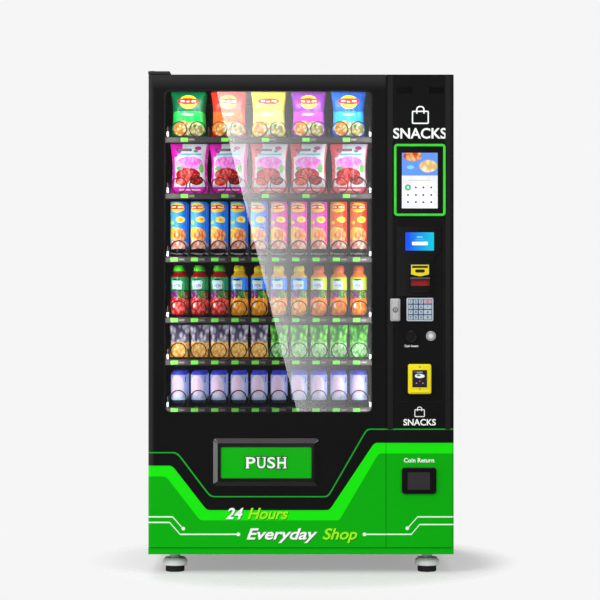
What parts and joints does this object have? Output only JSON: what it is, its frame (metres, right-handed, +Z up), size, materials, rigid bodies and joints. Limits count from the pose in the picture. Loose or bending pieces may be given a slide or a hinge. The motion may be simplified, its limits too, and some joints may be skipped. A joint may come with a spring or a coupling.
{
  "type": "snack vending machine",
  "caption": "Free-standing glass-front vending machine with a full-width hinged door, spiral trays, a payment panel and a push-in delivery flap.",
  "frame": {"origin": "centre of the machine's footprint, on the floor", "axes": "+X to the right of a customer facing the machine, -Y out of its front, +Z up"},
  "size_m": [1.186, 0.885, 1.953],
  "materials": {
    "black_powder_coat": "satin powder coat",
    "grey_powder_coat": "satin powder coat",
    "zinc_plated_steel": "satin",
    "spring_steel": "dark drawn wire",
    "clear_glass": "polished",
    "black_plastic": "gloss",
    "green_plastic": "gloss",
    "yellow_plastic": "fine texture",
    "key_metal": "brushed",
    "chrome": "polished",
    "white_nylon": "matte",
    "compressor_enamel": "gloss enamel"
  },
  "bodies": {
    "cabinet": {"base_frame": "grey_powder_coat", "side_panel_left": "black_powder_coat", "side_panel_right": "black_powder_coat", "roof_panel": "black_powder_coat", "back_panel": "black_powder_coat", "partition_wall": "grey_powder_coat", "insulated_deck": "grey_powder_coat", "tray_1": "zinc_plated_steel", "tray_2": "zinc_plated_steel", "tray_3": "zinc_plated_steel", "tray_4": "zinc_plated_steel", "tray_5": "zinc_plated_steel", "tray_6": "zinc_plated_steel", "condensing_unit": "compressor_enamel", "hinge_top": "grey_powder_coat", "levelling_foot_1": "white_nylon", "levelling_foot_2": "white_nylon", "levelling_foot_3": "white_nylon", "levelling_foot_4": "white_nylon"},
    "door": {"door_frame": "black_powder_coat", "window_glass": "clear_glass", "control_fascia": "black_plastic", "touch_screen": "black_plastic", "bill_acceptor": "black_plastic", "keypad_housing": "zinc_plated_steel", "coin_insert": "black_plastic", "card_reader": "yellow_plastic", "lock_plate": "chrome", "coin_return_cup": "black_plastic", "delivery_bezel": "black_plastic", "delivery_bin": "zinc_plated_steel"},
    "delivery_flap": {"delivery_flap": "green_plastic"},
    "anti_theft_flap": {"anti_theft_flap": "zinc_plated_steel"},
    "coin_return_flap": {"coin_return_flap": "black_plastic"},
    "lock_spindle": {"lock_spindle": "zinc_plated_steel"},
    "lock_handle": {"lock_handle": "chrome"},
    "reject_button": {"reject_button": "chrome"},
    "condenser_fan": {"condenser_fan": "black_plastic"},
    "spiral_1": {"spiral_1": "spring_steel"},
    "spiral_2": {"spiral_2": "spring_steel"},
    "spiral_3": {"spiral_3": "spring_steel"},
    "spiral_4": {"spiral_4": "spring_steel"},
    "spiral_5": {"spiral_5": "spring_steel"},
    "spiral_6": {"spiral_6": "spring_steel"},
    "key_01": {"key_01": "key_metal"},
    "key_02": {"key_02": "key_metal"},
    "key_03": {"key_03": "key_metal"},
    "key_04": {"key_04": "key_metal"},
    "key_05": {"key_05": "key_metal"},
    "key_06": {"key_06": "key_metal"},
    "key_07": {"key_07": "key_metal"},
    "key_08": {"key_08": "key_metal"},
    "key_09": {"key_09": "key_metal"},
    "key_10": {"key_10": "key_metal"},
    "key_11": {"key_11": "key_metal"},
    "key_12": {"key_12": "key_metal"},
    "key_13": {"key_13": "key_metal"},
    "key_14": {"key_14": "key_metal"},
    "key_15": {"key_15": "key_metal"},
    "key_16": {"key_16": "key_metal"}
  },
  "joints": [
    {"name": "door_hinge", "type": "hinge", "parent": "cabinet", "child": "door", "pos_m": [-0.578, -0.395, 1], "axis": [0, 0, -1], "range_deg": [0, 110]},
    {"name": "delivery_flap_hinge", "type": "hinge", "parent": "door", "child": "delivery_flap", "pos_m": [-0.1352, -0.4275, 0.4905], "axis": [1, 0, 0], "range_deg": [0, 60]},
    {"name": "anti_theft_flap_hinge", "type": "hinge", "parent": "door", "child": "anti_theft_flap", "pos_m": [-0.13, -0.1585, 0.548], "axis": [-1, 0, 0], "range_deg": [0, 84]},
    {"name": "coin_return_flap_hinge", "type": "hinge", "parent": "door", "child": "coin_return_flap", "pos_m": [0.4567, -0.425, 0.3935], "axis": [1, 0, 0], "range_deg": [0, 60]},
    {"name": "lock_turn", "type": "hinge", "parent": "door", "child": "lock_spindle", "pos_m": [0.3653, -0.43, 1.0244], "axis": [0, 1, 0], "range_deg": [0, 90]},
    {"name": "lock_handle_lift", "type": "hinge", "parent": "lock_spindle", "child": "lock_handle", "pos_m": [0.3653, -0.4381, 1.06], "axis": [-1, 0, 0], "range_deg": [0, 50]},
    {"name": "reject_button_press", "type": "slide", "parent": "door", "child": "reject_button", "axis": [0, 1, 0], "range_m": [0, 0.003], "stiffness_N_per_m": 400, "springref_m": -0.002},
    {"name": "spiral_1_turn", "type": "hinge", "parent": "cabinet", "child": "spiral_1", "pos_m": [-0.4855, 0, 1.7402], "axis": [0, 1, 0], "continuous": true},
    {"name": "spiral_2_turn", "type": "hinge", "parent": "cabinet", "child": "spiral_2", "pos_m": [-0.4855, 0, 1.518], "axis": [0, 1, 0], "continuous": true},
    {"name": "spiral_3_turn", "type": "hinge", "parent": "cabinet", "child": "spiral_3", "pos_m": [-0.488, 0, 1.2672], "axis": [0, 1, 0], "continuous": true},
    {"name": "spiral_4_turn", "type": "hinge", "parent": "cabinet", "child": "spiral_4", "pos_m": [-0.488, 0, 1.0277], "axis": [0, 1, 0], "continuous": true},
    {"name": "spiral_5_turn", "type": "hinge", "parent": "cabinet", "child": "spiral_5", "pos_m": [-0.488, 0, 0.8605], "axis": [0, 1, 0], "continuous": true},
    {"name": "spiral_6_turn", "type": "hinge", "parent": "cabinet", "child": "spiral_6", "pos_m": [-0.488, 0, 0.6719], "axis": [0, 1, 0], "continuous": true},
    {"name": "condenser_fan_spin", "type": "hinge", "parent": "cabinet", "child": "condenser_fan", "pos_m": [0, 0.167, 0.275], "axis": [0, 1, 0], "continuous": true},
    {"name": "key_01_press", "type": "slide", "parent": "door", "child": "key_01", "axis": [0, 1, 0], "range_m": [0, 0.0015], "stiffness_N_per_m": 500, "springref_m": -0.001},
    {"name": "key_02_press", "type": "slide", "parent": "door", "child": "key_02", "axis": [0, 1, 0], "range_m": [0, 0.0015], "stiffness_N_per_m": 500, "springref_m": -0.001},
    {"name": "key_03_press", "type": "slide", "parent": "door", "child": "key_03", "axis": [0, 1, 0], "range_m": [0, 0.0015], "stiffness_N_per_m": 500, "springref_m": -0.001},
    {"name": "key_04_press", "type": "slide", "parent": "door", "child": "key_04", "axis": [0, 1, 0], "range_m": [0, 0.0015], "stiffness_N_per_m": 500, "springref_m": -0.001},
    {"name": "key_05_press", "type": "slide", "parent": "door", "child": "key_05", "axis": [0, 1, 0], "range_m": [0, 0.0015], "stiffness_N_per_m": 500, "springref_m": -0.001},
    {"name": "key_06_press", "type": "slide", "parent": "door", "child": "key_06", "axis": [0, 1, 0], "range_m": [0, 0.0015], "stiffness_N_per_m": 500, "springref_m": -0.001},
    {"name": "key_07_press", "type": "slide", "parent": "door", "child": "key_07", "axis": [0, 1, 0], "range_m": [0, 0.0015], "stiffness_N_per_m": 500, "springref_m": -0.001},
    {"name": "key_08_press", "type": "slide", "parent": "door", "child": "key_08", "axis": [0, 1, 0], "range_m": [0, 0.0015], "stiffness_N_per_m": 500, "springref_m": -0.001},
    {"name": "key_09_press", "type": "slide", "parent": "door", "child": "key_09", "axis": [0, 1, 0], "range_m": [0, 0.0015], "stiffness_N_per_m": 500, "springref_m": -0.001},
    {"name": "key_10_press", "type": "slide", "parent": "door", "child": "key_10", "axis": [0, 1, 0], "range_m": [0, 0.0015], "stiffness_N_per_m": 500, "springref_m": -0.001},
    {"name": "key_11_press", "type": "slide", "parent": "door", "child": "key_11", "axis": [0, 1, 0], "range_m": [0, 0.0015], "stiffness_N_per_m": 500, "springref_m": -0.001},
    {"name": "key_12_press", "type": "slide", "parent": "door", "child": "key_12", "axis": [0, 1, 0], "range_m": [0, 0.0015], "stiffness_N_per_m": 500, "springref_m": -0.001},
    {"name": "key_13_press", "type": "slide", "parent": "door", "child": "key_13", "axis": [0, 1, 0], "range_m": [0, 0.0015], "stiffness_N_per_m": 500, "springref_m": -0.001},
    {"name": "key_14_press", "type": "slide", "parent": "door", "child": "key_14", "axis": [0, 1, 0], "range_m": [0, 0.0015], "stiffness_N_per_m": 500, "springref_m": -0.001},
    {"name": "key_15_press", "type": "slide", "parent": "door", "child": "key_15", "axis": [0, 1, 0], "range_m": [0, 0.0015], "stiffness_N_per_m": 500, "springref_m": -0.001},
    {"name": "key_16_press", "type": "slide", "parent": "door", "child": "key_16", "axis": [0, 1, 0], "range_m": [0, 0.0015], "stiffness_N_per_m": 500, "springref_m": -0.001}
  ],
  "couplings": [
    {"joint": "anti_theft_flap_hinge", "follows": "delivery_flap_hinge", "ratio": 1.4}
  ]
}
